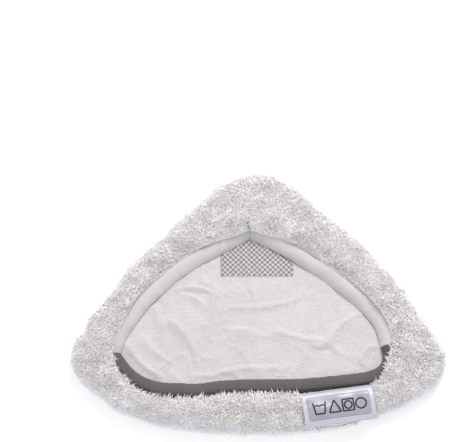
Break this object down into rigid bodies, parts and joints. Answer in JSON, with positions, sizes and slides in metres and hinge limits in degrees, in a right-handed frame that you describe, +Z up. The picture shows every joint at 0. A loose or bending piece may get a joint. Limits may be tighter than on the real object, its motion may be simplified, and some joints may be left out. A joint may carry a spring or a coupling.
{
  "type": "steam-mop pad",
  "caption": "Triangular fitted pile-cloth floor-mop pad: shaggy collar and elastic rear cuff round a bound mouth, ribbed lining, mesh patch and flap label.",
  "frame": {"origin": "centre of the bounding box, at the underside of the sole, on the floor", "axes": "+X across the pad to the right as seen from the rear, +Y towards the rounded nose, +Z up out of the mouth; the sole lies on Z = 0"},
  "size_m": [0.34, 0.262, 0.0236],
  "materials": {
    "pile": "shaggy microfibre pile",
    "wadding": "felted",
    "lining": "fine ribbed weave",
    "mesh": "open diamond mesh",
    "tape": "smooth light-grey tape",
    "band": "smooth taupe-grey tape",
    "elastic": "woven elastic",
    "thread_light": "sewing thread",
    "thread_dark": "sewing thread",
    "label": "satin"
  },
  "bodies": {
    "sole": {"sole_cloth": "pile", "perimeter_seam": "thread_light", "core_pad": "wadding", "lining": "lining", "mesh_patch": "mesh", "mesh_patch_stitch": "thread_light", "front_collar": "pile", "left_binding": "tape", "right_binding": "tape", "left_binding_stitch": "thread_light", "right_binding_stitch": "thread_light", "apex_bartack": "thread_dark", "left_corner_bartack": "thread_dark", "right_corner_bartack": "thread_dark"},
    "cuff": {"rear_cuff": "pile", "cuff_side": "pile", "rear_band": "band", "rear_elastic": "elastic", "rear_band_stitch": "thread_dark"},
    "label": {"label": "label", "label_stitch": "thread_light"}
  },
  "joints": [
    {"name": "cuff_open", "type": "hinge", "parent": "sole", "child": "cuff", "pos_m": [0, -0.131, 0.0054], "axis": [1, 0, 0], "range_deg": [0, 60], "stiffness_Nm_per_rad": 0.05},
    {"name": "label_flip", "type": "hinge", "parent": "cuff", "child": "label", "pos_m": [0.072, -0.0895, 0.0232], "axis": [-0.9903, -0.1392, 0], "range_deg": [0, 150]}
  ]
}
